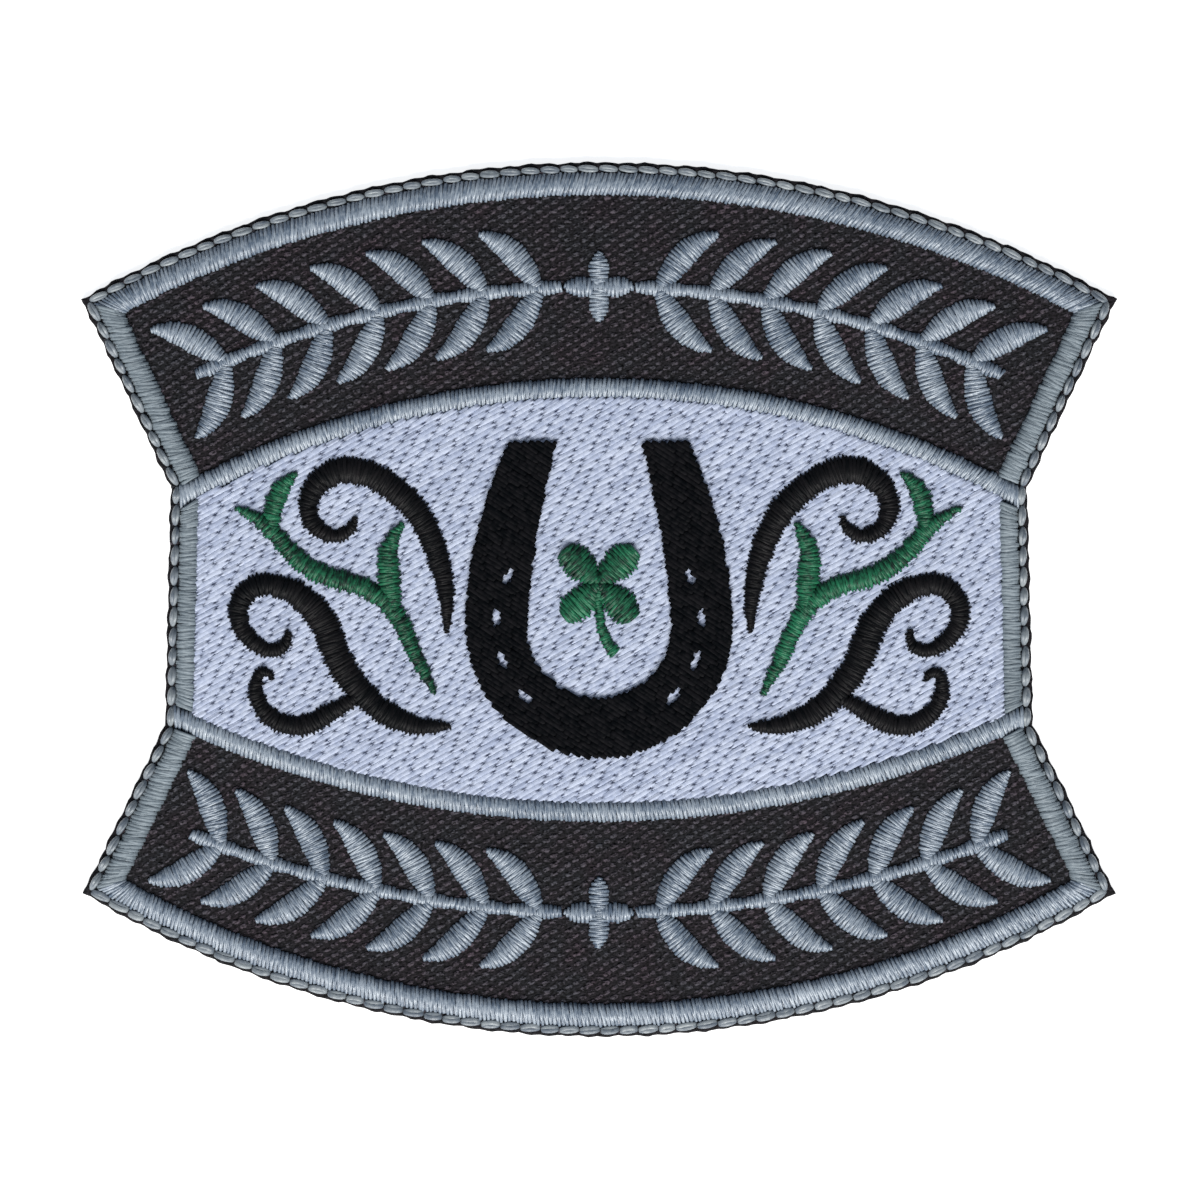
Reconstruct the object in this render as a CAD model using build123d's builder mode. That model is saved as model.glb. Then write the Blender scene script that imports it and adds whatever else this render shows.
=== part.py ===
from build123d import *
from collections import namedtuple
from math import asin, atan2, cos, degrees, hypot, radians, sin, sqrt, tan
import os

# An embroidered patch lying face up: black twill cut to a barrel outline with a notched waist,
# grey satin borders and dividers, a white stitched field and raised ornament.
# Millimetres. X runs along the patch's width, Y towards its top edge and Z out of its face.
# The origin is the middle of the flat back.

os.makedirs("parts", exist_ok=True)

# Cut outline, heights counted from the middle of the patch
patch_height = 84.3
top_width = 99.8
bottom_width = 99.5
top_corner_height = 28.95
bottom_corner_depth = 28.3
upper_notch_width = 82.6
upper_notch_height = 10.8
lower_notch_width = 83.7
lower_notch_depth = 12.1

# Satin columns seen from the front
edge_lane = 1.0
bowed_border_width = 2.2
slant_border_width = 2.15
middle_border_width = 1.9
divider_width = 2.05
upper_divider_height = 21.3
lower_divider_depth = 21.4

# Heights of the layers
ground_thickness = 1.0
column_height = 0.6
column_edge_height = 0.24
fill_height = 0.38
stroke_height = 0.5
motif_fill_height = 0.34

# Clearances
seat_gap = 0.03
joint_gap = 0.06
branch_clearance = 3.2
motif_side_clearance = 3.4
motif_end_clearance = 4.1

# Laurel branches and rosettes of the two bands, measured along the middle of the band
sprigs_per_branch = 7
first_sprig = 5.9
sprig_end_clearance = 1.1
rosette_span = 6.6

# Centre motif
horseshoe_width = 25.4
toe_web = 5.6
heel_web = 4.3
heel_inset = 4.2
slots_per_side = 4
first_slot_angle = -44
slot_step = 24
slot_length = 1.9
slot_width = 0.85
clover_span = 9.4
clover_rise = 1.6
scroll_width = 2.8
vine_width = 2.1

half_height = patch_height / 2
face_height = ground_thickness + seat_gap
panel_face_height = face_height + fill_height + seat_gap

Point = namedtuple("Point", "x y")
Arc = namedtuple("Arc", "centre_y radius side")
Station = namedtuple("Station", "x y width")
Stroke = namedtuple("Stroke", "heading stations")

# Right-hand corners of the cut outline
top_corner = Point(top_width / 2, top_corner_height)
upper_notch = Point(upper_notch_width / 2, upper_notch_height)
lower_notch = Point(lower_notch_width / 2, -lower_notch_depth)
bottom_corner = Point(bottom_width / 2, -bottom_corner_depth)


def bowed_arc(end, apex_y):
    """The arc, level at the middle of the patch, from one end through its apex to the other end."""
    rise = apex_y - end.y
    side = 1 if rise > 0 else -1
    radius = (end.x**2 + rise**2) / (2 * abs(rise))
    return Arc(apex_y - side * radius, radius, side)


def inset_arc(arc, inset):
    """The same arc moved towards its centre."""
    return arc._replace(radius=arc.radius - inset)


def arc_height(arc, x):
    """Height of an arc at a distance from the patch's upright middle line."""
    return arc.centre_y + arc.side * sqrt(arc.radius**2 - x**2)


def inset_line(upper, lower, inset):
    """A right-hand side line moved towards the middle of the patch."""
    length = hypot(upper.x - lower.x, upper.y - lower.y)
    shift_x = -(upper.y - lower.y) / length * inset
    shift_y = (upper.x - lower.x) / length * inset
    return Point(upper.x + shift_x, upper.y + shift_y), Point(lower.x + shift_x, lower.y + shift_y)


def line_meets_line(first, second):
    """Crossing point of two lines, each given by two points."""
    (a, b), (c, d) = first, second
    across = (b.x - a.x) * (d.y - c.y) - (b.y - a.y) * (d.x - c.x)
    share = ((c.x - a.x) * (d.y - c.y) - (c.y - a.y) * (d.x - c.x)) / across
    return Point(a.x + share * (b.x - a.x), a.y + share * (b.y - a.y))


def line_meets_arc(line, arc):
    """Crossing point of a side line and a bowed arc, on the arc's own side of its centre."""
    a, b = line
    length = hypot(b.x - a.x, b.y - a.y)
    step = Point((b.x - a.x) / length, (b.y - a.y) / length)
    along = -(a.x * step.x + (a.y - arc.centre_y) * step.y)
    foot = Point(a.x + along * step.x, a.y + along * step.y)
    reach = sqrt(arc.radius**2 - foot.x**2 - (foot.y - arc.centre_y) ** 2)
    towards = arc.side if step.y > 0 else -arc.side
    return Point(foot.x + towards * reach * step.x, foot.y + towards * reach * step.y)


def cutting_plane(start, end, kept, gap):
    """Upright plane through two points of the face, set back by a gap towards the side that is kept."""
    length = hypot(end.x - start.x, end.y - start.y)
    normal = Point(-(end.y - start.y) / length, (end.x - start.x) / length)
    facing = (kept.x - start.x) * normal.x + (kept.y - start.y) * normal.y
    sign = 1 if facing > 0 else -1
    place = (start.x + sign * gap * normal.x, start.y + sign * gap * normal.y, 0)
    along = (end.x - start.x, end.y - start.y, 0)
    return Plane(origin=place, x_dir=along, z_dir=(sign * normal.x, sign * normal.y, 0))


def save(part, name):
    """Name a finished piece and write its file."""
    part.label = name
    export_step(part, f"parts/{name}.step")


# Named lines of the right-hand side
upper_side = (top_corner, upper_notch)
middle_side = (upper_notch, lower_notch)
lower_side = (lower_notch, bottom_corner)
slant_inner_inset = edge_lane + slant_border_width
middle_inner_inset = edge_lane + middle_border_width
bowed_inner_inset = edge_lane + bowed_border_width

top_arc = bowed_arc(top_corner, half_height)
bottom_arc = bowed_arc(bottom_corner, -half_height)

# Each divider's outer arc springs from the waist's corners, as the stitched edge lane leaves them
upper_spring = line_meets_line(inset_line(*upper_side, edge_lane), inset_line(*middle_side, edge_lane))
lower_spring = line_meets_line(inset_line(*middle_side, edge_lane), inset_line(*lower_side, edge_lane))
upper_divider_arc = bowed_arc(upper_spring, upper_divider_height)
lower_divider_arc = bowed_arc(lower_spring, -lower_divider_depth)


# Ground
with BuildPart() as twill_ground:
    with BuildSketch():
        with BuildLine():
            ThreePointArc((-top_corner.x, top_corner.y), (0, half_height), top_corner)
            Polyline(top_corner, upper_notch, lower_notch, bottom_corner)
            ThreePointArc(bottom_corner, (0, -half_height), (-bottom_corner.x, bottom_corner.y))
            Polyline(
                (-bottom_corner.x, bottom_corner.y),
                (-lower_notch.x, lower_notch.y),
                (-upper_notch.x, upper_notch.y),
                (-top_corner.x, top_corner.y),
            )
        make_face()
    extrude(amount=ground_thickness)
save(twill_ground.part, "twill_ground")


# Satin columns: a low wall at each edge and a shallow dome between them
def bowed_column(name, arc, width, end_cuts):
    """A domed column that follows an arc, running inwards from it by its width."""
    sweep_angle = 2 * degrees(asin(top_width / 2 / arc.radius))
    start_angle = radians(arc.side * 90 - sweep_angle / 2)
    outward = (cos(start_angle), sin(start_angle), 0)
    backward = (outward[1], -outward[0], 0)
    section_plane = Plane(origin=(0, arc.centre_y, face_height), x_dir=outward, z_dir=backward)
    with BuildPart() as column:
        with BuildSketch(section_plane):
            with BuildLine():
                outer = arc.radius
                inner = arc.radius - width
                Polyline((inner, column_edge_height), (inner, 0), (outer, 0), (outer, column_edge_height))
                crown = ((inner + outer) / 2, column_height)
                ThreePointArc((outer, column_edge_height), crown, (inner, column_edge_height))
            make_face()
        revolve(axis=Axis((0, arc.centre_y, 0), (0, 0, 1)), revolution_arc=sweep_angle)
        for end_cut in end_cuts:
            split(bisect_by=end_cut, keep=Keep.TOP)
    save(column.part, name)


def straight_column(name, side, width, end_cuts):
    """A domed column along a right-hand side line and its twin on the left."""
    upper, lower = inset_line(*side, edge_lane)
    run = hypot(upper.x - lower.x, upper.y - lower.y)
    along = ((lower.x - upper.x) / run, (lower.y - upper.y) / run, 0)
    inward = (along[1], -along[0], 0)
    start = (upper.x - width * along[0], upper.y - width * along[1], face_height)
    with BuildPart() as column:
        with BuildSketch(Plane(origin=start, x_dir=inward, z_dir=(-along[0], -along[1], 0))):
            with BuildLine():
                Polyline((0, column_edge_height), (0, 0), (width, 0), (width, column_edge_height))
                crown = (width / 2, column_height)
                ThreePointArc((width, column_edge_height), crown, (0, column_edge_height))
            make_face()
        extrude(amount=-(run + 2 * width))
        for end_cut in end_cuts:
            split(bisect_by=end_cut, keep=Keep.TOP)
    with BuildPart() as twin:
        mirror(column.part, about=Plane.YZ)
    save(column.part, f"{name}_right_border")
    save(twin.part, f"{name}_left_border")


def mitre(arc, side):
    """Outer and inner corner where a bowed column and a slanted column meet."""
    outer = line_meets_arc(inset_line(*side, edge_lane), inset_arc(arc, edge_lane))
    inner = line_meets_arc(inset_line(*side, slant_inner_inset), inset_arc(arc, bowed_inner_inset))
    return outer, inner


def flipped(point):
    """The same point on the left."""
    return Point(-point.x, point.y)


patch_middle = Point(0, 0)
top_mitre = mitre(top_arc, upper_side)
bottom_mitre = mitre(bottom_arc, lower_side)

for name, arc, corners in (("top_border", top_arc, top_mitre), ("bottom_border", bottom_arc, bottom_mitre)):
    kept = Point(0, corners[0].y)
    right_cut = cutting_plane(*corners, kept, joint_gap / 2)
    left_cut = cutting_plane(*map(flipped, corners), kept, joint_gap / 2)
    bowed_column(name, inset_arc(arc, edge_lane), bowed_border_width, (right_cut, left_cut))

# A divider ends on the line of the stitched edge lane, above and below the upright columns
lane_line = inset_line(*middle_side, edge_lane)
for name, arc in (("upper_divider", upper_divider_arc), ("lower_divider", lower_divider_arc)):
    right_cut = cutting_plane(*lane_line, patch_middle, 0)
    left_cut = cutting_plane(*map(flipped, lane_line), patch_middle, 0)
    bowed_column(name, arc, divider_width, (right_cut, left_cut))


def butt(side, inner_inset, arc, kept):
    """Cut across a side column where a divider's arc crosses it."""
    outer = line_meets_arc(inset_line(*side, edge_lane), arc)
    inner = line_meets_arc(inset_line(*side, inner_inset), arc)
    return cutting_plane(outer, inner, kept, joint_gap)


upper_divider_edge = inset_arc(upper_divider_arc, divider_width)
lower_divider_edge = inset_arc(lower_divider_arc, divider_width)
upper_middle_butt = butt(middle_side, middle_inner_inset, upper_divider_edge, patch_middle)
lower_middle_butt = butt(middle_side, middle_inner_inset, lower_divider_edge, patch_middle)
straight_column("middle", middle_side, middle_border_width, (upper_middle_butt, lower_middle_butt))

slanted_columns = (
    ("upper", upper_side, top_mitre, upper_divider_arc),
    ("lower", lower_side, bottom_mitre, lower_divider_arc),
)
for name, side, corners, divider_arc in slanted_columns:
    side_middle = Point((side[0].x + side[1].x) / 2, (side[0].y + side[1].y) / 2)
    mitre_cut = cutting_plane(*corners, side_middle, joint_gap / 2)
    divider_butt = butt(side, slant_inner_inset, divider_arc, side_middle)
    straight_column(name, side, slant_border_width, (mitre_cut, divider_butt))


# White field between the dividers and the upright columns
panel_top_arc = inset_arc(upper_divider_edge, joint_gap)
panel_bottom_arc = inset_arc(lower_divider_edge, joint_gap)
panel_side = inset_line(*middle_side, middle_inner_inset + joint_gap)
panel_top_corner = line_meets_arc(panel_side, panel_top_arc)
panel_bottom_corner = line_meets_arc(panel_side, panel_bottom_arc)
panel_top = arc_height(panel_top_arc, 0)
panel_bottom = arc_height(panel_bottom_arc, 0)

with BuildPart() as white_panel:
    with BuildSketch(Plane.XY.offset(face_height)):
        with BuildLine():
            ThreePointArc(flipped(panel_top_corner), (0, panel_top), panel_top_corner)
            Line(panel_top_corner, panel_bottom_corner)
            ThreePointArc(panel_bottom_corner, (0, panel_bottom), flipped(panel_bottom_corner))
            Line(flipped(panel_bottom_corner), flipped(panel_top_corner))
        make_face()
    extrude(amount=fill_height)
save(white_panel.part, "white_panel")


# Tapered satin strokes. A stroke is a chain of arcs through its stations, smooth at each joint,
# with a width at every station. It is lofted from its full outline up to a narrower crown.
Level = namedtuple("Level", "height width")
stroke_levels = (Level(0, 1), Level(0.62, 0.86), Level(1, 0.44))
# Share of the way from the narrower to the wider station that the width has reached between them
fullness = 0.75


def stroke_sides(stroke, narrowing):
    """Points of a stroke's left and right sides, station and arc middle in turn."""
    heading = radians(stroke.heading)
    left = []
    right = []

    def place(x, y, angle, width):
        reach = width * narrowing / 2
        left.append((x - reach * sin(angle), y + reach * cos(angle)))
        right.append((x + reach * sin(angle), y - reach * cos(angle)))

    place(stroke.stations[0].x, stroke.stations[0].y, heading, stroke.stations[0].width)
    for start, end in zip(stroke.stations, stroke.stations[1:]):
        chord = hypot(end.x - start.x, end.y - start.y)
        chord_angle = atan2(end.y - start.y, end.x - start.x)
        half_turn = (chord_angle - heading + radians(180)) % radians(360) - radians(180)
        bow = chord / 2 * tan(half_turn / 2)
        middle_x = (start.x + end.x) / 2 + bow * sin(chord_angle)
        middle_y = (start.y + end.y) / 2 - bow * cos(chord_angle)
        wide = max(start.width, end.width)
        narrow = min(start.width, end.width)
        place(middle_x, middle_y, chord_angle, narrow + fullness * (wide - narrow))
        heading = chord_angle + half_turn
        place(end.x, end.y, heading, end.width)
    return left, right


def satin_motif(name, place, strokes):
    """One piece made of tapered satin strokes that run into each other."""
    with BuildPart() as motif:
        for stroke in strokes:
            for level in stroke_levels:
                left, right = stroke_sides(stroke, level.width)
                with BuildSketch(place.offset(level.height * stroke_height)):
                    with BuildLine():
                        for first in range(0, len(left) - 1, 2):
                            ThreePointArc(*left[first : first + 3])
                        Line(left[-1], right[-1])
                        for first in range(0, len(right) - 1, 2):
                            ThreePointArc(*right[first : first + 3])
                        Line(right[0], left[0])
                    make_face()
            loft()
    save(motif.part, name)
    return motif.part


def sized(strokes, reach_x, reach_y, width):
    """Strokes whose tables hold shares, brought to real sizes."""
    real = []
    for heading, shares in strokes:
        stations = [Station(s.x * reach_x, s.y * reach_y, s.width * width) for s in shares]
        real.append(Stroke(heading, stations))
    return real


def mirrored(strokes):
    """Strokes turned over about the upright middle line of their motif."""
    return [Stroke(180 - stroke.heading, [s._replace(x=-s.x) for s in stroke.stations]) for stroke in strokes]


def turned_over(strokes):
    """Strokes turned over about the level middle line of their motif."""
    return [Stroke(-stroke.heading, [s._replace(y=-s.y) for s in stroke.stations]) for stroke in strokes]


def rotated(strokes, angle):
    """Strokes turned about the middle of their motif."""
    across = cos(radians(angle))
    up = sin(radians(angle))
    return [
        Stroke(
            stroke.heading + angle,
            [Station(s.x * across - s.y * up, s.x * up + s.y * across, s.width) for s in stroke.stations],
        )
        for stroke in strokes
    ]


# Laurel sprig in shares of the branch's height: two leaves and a piece of stem, growing along +X
laurel_leaf = Stroke(62, [Station(0, 0.02, 0.1), Station(0.17, 0.28, 0.225), Station(0.47, 0.5, 0.04)])
laurel_stem = Stroke(0, [Station(-0.19, 0, 0.09), Station(0.04, 0, 0.13), Station(0.25, 0, 0.08)])
sprig_shares = [laurel_leaf, *turned_over([laurel_leaf]), laurel_stem]

# Petal in shares of its flower's span, growing along +X from the flower's middle
rosette_petal = [Stroke(0, [Station(0, 0, 0.2), Station(0.27, 0, 0.3), Station(0.5, 0, 0.06)])]
clover_petal = [Stroke(0, [Station(0.01, 0, 0.08), Station(0.32, 0, 0.36), Station(0.5, 0, 0.17)])]


def flower(petal, first_angle):
    """Four equal petals about one middle."""
    angles = [first_angle + 90 * number for number in range(4)]
    return [stroke for angle in angles for stroke in rotated(petal, angle)]


def band_place(divider_arc, outwards, along, growing):
    """Plane on the face at a distance along a band, its x axis growing to the right (1) or left (-1)."""
    reach = divider_arc.radius + outwards
    turn = along / reach
    across = Point(sin(turn), divider_arc.side * cos(turn))
    origin = (across.x * reach, divider_arc.centre_y + across.y * reach, face_height)
    x_dir = (growing * divider_arc.side * across.y, -growing * divider_arc.side * across.x, 0)
    return Plane(origin=origin, x_dir=x_dir, z_dir=(0, 0, 1))


bands = (
    ("upper", upper_side, upper_divider_arc, half_height - bowed_inner_inset - upper_divider_height),
    ("lower", lower_side, lower_divider_arc, half_height - bowed_inner_inset - lower_divider_depth),
)
for band_name, side, divider_arc, band_depth in bands:
    middle = band_depth / 2
    branch_height = band_depth - 2 * branch_clearance
    middle_arc = inset_arc(divider_arc, -middle)
    band_end = line_meets_arc(inset_line(*side, slant_inner_inset), middle_arc)
    band_reach = middle_arc.radius * asin(band_end.x / middle_arc.radius)
    last_sprig = band_reach - sprig_end_clearance - branch_height / 2
    sprig_pitch = (last_sprig - first_sprig) / (sprigs_per_branch - 1)
    sprig_strokes = sized(sprig_shares, branch_height, branch_height, branch_height)
    for half, growing in (("right", 1), ("left", -1)):
        for number in range(sprigs_per_branch):
            along = growing * (first_sprig + number * sprig_pitch)
            place = band_place(divider_arc, middle, along, growing)
            satin_motif(f"{band_name}_{half}_sprig_{number + 1}", place, sprig_strokes)
    rosette_strokes = sized(flower(rosette_petal, 0), rosette_span, rosette_span, rosette_span)
    satin_motif(f"{band_name}_rosette", band_place(divider_arc, middle, 0, 1), rosette_strokes)


# Centre motif on the white field
motif_top = panel_top - motif_end_clearance
motif_bottom = panel_bottom + motif_end_clearance
motif_half_height = (motif_top - motif_bottom) / 2
motif_half_width = panel_top_corner.x - motif_side_clearance
motif_middle_y = (motif_top + motif_bottom) / 2
motif_plane = Plane(origin=(0, motif_middle_y, panel_face_height))

toe_radius = horseshoe_width / 2
toe_inner_radius = toe_radius - toe_web
toe_y = toe_radius - motif_half_height
heel_y = motif_half_height
heel_outer_x = toe_radius - heel_inset
heel_inner_x = heel_outer_x - heel_web
branch_middle_y = (toe_y + heel_y) / 2
branch_bow = heel_inset / 4

with BuildPart() as horseshoe:
    with BuildSketch(motif_plane):
        with BuildLine():
            for side in (1, -1):
                outer_middle = (side * (toe_radius - branch_bow), branch_middle_y)
                inner_middle = (side * (toe_inner_radius - branch_bow), branch_middle_y)
                outer_heel = (side * heel_outer_x, heel_y)
                inner_heel = (side * heel_inner_x, heel_y)
                ThreePointArc((side * toe_radius, toe_y), outer_middle, outer_heel)
                Line(outer_heel, inner_heel)
                ThreePointArc(inner_heel, inner_middle, (side * toe_inner_radius, toe_y))
            for radius in (toe_radius, toe_inner_radius):
                ThreePointArc((radius, toe_y), (0, toe_y - radius), (-radius, toe_y))
        make_face()
        # Nail slots follow the middle of the web, from the toe's sides up both branches
        slot_ring_radius = toe_radius - toe_web / 2
        for number in range(slots_per_side):
            for turn in (first_slot_angle + number * slot_step, 180 - first_slot_angle - number * slot_step):
                spot = (slot_ring_radius * cos(radians(turn)), toe_y + slot_ring_radius * sin(radians(turn)))
                with Locations(Location((*spot, 0), turn + 90)):
                    SlotOverall(slot_length, slot_width, mode=Mode.SUBTRACT)
    extrude(amount=motif_fill_height)
save(horseshoe.part, "horseshoe")

clover_stem = [Stroke(-95, [Station(0, -0.02, 0.09), Station(0.02, -0.42, 0.1), Station(0.16, -0.72, 0.14)])]
clover_strokes = sized(flower(clover_petal, 45) + clover_stem, clover_span, clover_span, clover_span)
clover_plane = Plane(origin=(0, motif_middle_y + clover_rise, panel_face_height))
satin_motif("clover", clover_plane, clover_strokes)

# Scrolls and vines of the right half: x in shares of the motif's half width, y of its half height
upper_scroll = [
    Stroke(
        95,
        [
            Station(0.42, -0.21, 0.2),
            Station(0.48, 0.48, 0.92),
            Station(0.66, 0.82, 1),
            Station(0.8, 0.62, 0.72),
            Station(0.74, 0.41, 0.54),
            Station(0.67, 0.53, 0.22),
        ],
    )
]
lower_scroll = [
    Stroke(
        -10,
        [
            Station(0.41, -0.8, 0.22),
            Station(0.6, -0.7, 0.9),
            Station(0.74, -0.24, 1.04),
            Station(0.9, 0.1, 0.82),
            Station(0.99, -0.15, 0.68),
            Station(0.91, -0.32, 0.54),
            Station(0.86, -0.19, 0.22),
        ],
    ),
    Stroke(
        -30,
        [
            Station(0.65, -0.6, 0.28),
            Station(0.78, -0.77, 0.78),
            Station(0.93, -0.68, 0.64),
            Station(0.94, -0.49, 0.44),
            Station(0.9, -0.51, 0.2),
        ],
    ),
]
vine = [
    Stroke(
        62,
        [
            Station(0.45, -0.6, 0.24),
            Station(0.54, -0.17, 0.9),
            Station(0.7, 0.12, 1),
            Station(0.87, 0.36, 0.9),
            Station(1, 0.59, 0.2),
        ],
    ),
    Stroke(80, [Station(0.56, -0.12, 0.42), Station(0.58, 0.19, 1.1), Station(0.54, 0.49, 0.2)]),
    Stroke(85, [Station(0.9, 0.4, 0.36), Station(0.89, 0.63, 1), Station(0.83, 0.81, 0.2)]),
]

centre_strokes = (
    ("upper_scroll", upper_scroll, scroll_width),
    ("lower_scroll", lower_scroll, scroll_width),
    ("vine", vine, vine_width),
)
for name, shares, width in centre_strokes:
    strokes = sized(shares, motif_half_width, motif_half_height, width)
    satin_motif(f"right_{name}", motif_plane, strokes)
    satin_motif(f"left_{name}", motif_plane, mirrored(strokes))
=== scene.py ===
from cmath import exp, phase
from collections import namedtuple
from math import ceil, pi, radians, sin

import bpy
import numpy as np
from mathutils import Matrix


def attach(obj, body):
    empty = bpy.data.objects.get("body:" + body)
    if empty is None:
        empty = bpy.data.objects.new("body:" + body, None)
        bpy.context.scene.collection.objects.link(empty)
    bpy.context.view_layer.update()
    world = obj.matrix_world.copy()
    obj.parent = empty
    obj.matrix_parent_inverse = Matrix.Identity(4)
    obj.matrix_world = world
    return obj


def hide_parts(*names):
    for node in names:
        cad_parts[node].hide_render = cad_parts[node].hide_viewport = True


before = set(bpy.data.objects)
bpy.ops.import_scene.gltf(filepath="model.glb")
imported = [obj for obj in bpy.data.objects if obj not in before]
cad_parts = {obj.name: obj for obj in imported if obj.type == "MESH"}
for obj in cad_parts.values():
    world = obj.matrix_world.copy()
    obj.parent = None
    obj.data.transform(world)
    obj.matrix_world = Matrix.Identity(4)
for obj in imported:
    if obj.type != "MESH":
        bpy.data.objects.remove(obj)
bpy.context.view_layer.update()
scene = bpy.context.scene

# An embroidered patch lying face up on a pale floor. Every stitch is a thread of its own, laid over padding
# in the place of the stitched solids of the frame.
# Lengths are millimetres, and a point of the patch's face is a complex number, x across and y up.
MM = 0.001
chance = np.random.default_rng(41)

Arc = namedtuple("Arc", "centre radius side")
Station = namedtuple("Station", "x y width")
Stroke = namedtuple("Stroke", "heading stations")
Thread = namedtuple("Thread", "width height tip point padding", defaults=(0.8, 0.93))
Shape = namedtuple("Shape", "stops across rise")
Dome = namedtuple("Dome", "roundness crest foot", defaults=(0,))
Lane = namedtuple("Lane", "inset bow width height roundness tip")
Sewing = namedtuple("Sewing", "seat crown full_width ragged dome thread")
Rows = namedtuple("Rows", "angle pitch seat height scatter shade spare foot ragged thread")

# Cut outline, as in the frame
patch_height = 84.3
top_width = 99.8
bottom_width = 99.5
top_corner_height = 28.95
bottom_corner_depth = 28.3
upper_notch_width = 82.6
upper_notch_height = 10.8
lower_notch_width = 83.7
lower_notch_depth = 12.1

# Stitched columns
edge_lane = 1.0
bowed_border_width = 2.2
slant_border_width = 2.15
middle_border_width = 1.9
divider_width = 2.05
upper_divider_height = 21.3
lower_divider_depth = 21.4

# Layers and clearances
ground_thickness = 1.0
column_height = 0.6
fill_height = 0.38
stroke_height = 0.5
motif_fill_height = 0.34
seat_gap = 0.03
joint_gap = 0.06
branch_clearance = 3.2
motif_side_clearance = 3.4
motif_end_clearance = 4.1

# Band ornament and centre motif
sprigs_per_branch = 7
first_sprig = 5.9
sprig_end_clearance = 1.1
rosette_span = 6.6
horseshoe_width = 25.4
toe_web = 5.6
heel_web = 4.3
heel_inset = 4.2
slots_per_side = 4
first_slot_angle = -44
slot_step = 24
slot_length = 1.9
slot_width = 0.85
clover_span = 9.4
clover_rise = 1.6
scroll_width = 2.8
vine_width = 2.1

# How wide a stroke is midway between two stations, from the narrower one's width (0) to the wider one's (1)
stretch_fullness = 0.75

# Stitching: a zigzag pitch is the spacing of the needle holes along one side of a satin column
zigzag_pitch = 0.40
fill_row_pitch = 0.41
fill_row_angle = 30
fill_stitch_length = 2.4
fill_row_shift = 1.65
motif_row_pitch = 0.405
motif_row_angle = -33
fan_reach = 4.5
run_stitch_pitch = 1.9
panel_tuck = 0.18

# How far threads stand over the stitched solids of the frame
column_swell = 0.06
leaf_swell = 0.12
motif_swell = 0.15
fill_swell = 0.02

# Width from which a satin stroke stands at its full height, and the least width counted, as a share of it
leaf_full_width = 1.9
petal_full_width = 2.4
full_width_share = 0.8
least_width_share = 0.35

# Unevenness of satin: how far its edge strays, a needle hole slips along it and a thread's height strays
column_ragged = 0.09
leaf_ragged = 0.07
motif_ragged = 0.15
needle_slip = 0.035
crown_scatter = 0.025

# Unevenness of any thread: its width as a share, and how light it is, with a drift over many stitches
thread_widths = (0.9, 1.1)
tone_scatter = 0.5
drift_scatter = 0.35
drift_stitches = 24

# Padding under a satin column: the spacing of its rungs, and how far it lies under its seat and its threads
rung_spacing = 0.8
padding_sink = 0.04
padding_depth = 0.1

# Fill stitches: where the first row lies, how far two in a row lap, and how far they stray and dip
row_offset = 0.37
stitch_lap = 0.03
row_wander = 0.035
fill_scatter = 0.012
fill_dip = 0.04
fill_roundness = 5

# The painted slit of shade at a needle hole, and the shortest stitches that have a hole or a painted slit
painted_slit_reach = 0.48
painted_slit_fade = 1.6
shortest_stitch = 0.7
shortest_painted_slit = 0.8

# Flat bars under fill stitches, their half width and height as shares of the rows' pitch and height
bar_inset = 0.1
bar_half_width = 0.55
bar_height = 0.35
bar_dip = 0.02

# Run stitches along the cut edge: how far in they lie, how their two strands part, how wide a strand is,
# how high it stands and how flat its top and its tips are
side_run = Lane(0.64, 0.17, 0.43, 0.7, 1.6, 0.52)
top_run = Lane(0.66, 0.14, 0.41, 0.4, 3.0, 0.6)
bottom_run = Lane(0.67, 0.16, 0.5, 0.28, 5.0, 0.85)
run_hole_scatter = 0.08
run_height_scatter = 0.03
run_bow_scatter = 0.015
run_slant = 0.09
run_gap = 0.03
run_swell = 0.28
run_foot = -0.1

# Twill: floats lie in a brick lattice
float_step = 1.456
float_row_step = 0.456
float_length = 0.98
float_lengths = (0.85, 1.08)
float_tilt = 20
float_tilt_scatter = 6
float_slip = 0.045
float_row_slip = 0.02
float_seat = 0.93
float_height = 0.085
float_height_scatter = 0.02
float_tone_scatter = 0.9
float_tuck = 0.3
rim_inset = 0.5
rim_tuck = 0.1
weave_angle = 14

# Edge of the cloth: its waves, and the inset and height of each ring of it from the floor up
stitch_wave = 0.06
slow_wave = 0.05
slow_wave_length = 5.3
edge_draw = 0.02
edge_scatter = 0.02
edge_rings = ((0.1, 0.0), (0.0, 0.1), (0.0, 0.78), (0.06, 0.92), (0.2, 0.96))

face_height = ground_thickness + seat_gap
panel_face_height = face_height + fill_height + seat_gap


# Plane geometry
def bowed_arc(end, apex_y):
    """The arc, level at the middle of the patch, from one end through its apex to the other end."""
    rise = apex_y - end.imag
    side = 1 if rise > 0 else -1
    radius = (end.real**2 + rise**2) / (2 * abs(rise))
    return Arc(1j * (apex_y - side * radius), radius, side)


def inset_arc(arc, inset):
    """The same arc moved towards its centre."""
    return arc._replace(radius=arc.radius - inset)


def inset_line(line, inset):
    """A right-hand side line moved towards the middle of the patch."""
    upper, lower = line
    shift = 1j * inset * (upper - lower) / abs(upper - lower)
    return upper + shift, lower + shift


def line_meets_line(first, second):
    """Crossing point of two lines, each given by two points."""
    (a, b), (c, d) = first, second
    along, other = b - a, d - c
    share = ((c - a).conjugate() * other).imag / (along.conjugate() * other).imag
    return a + share * along


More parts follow.
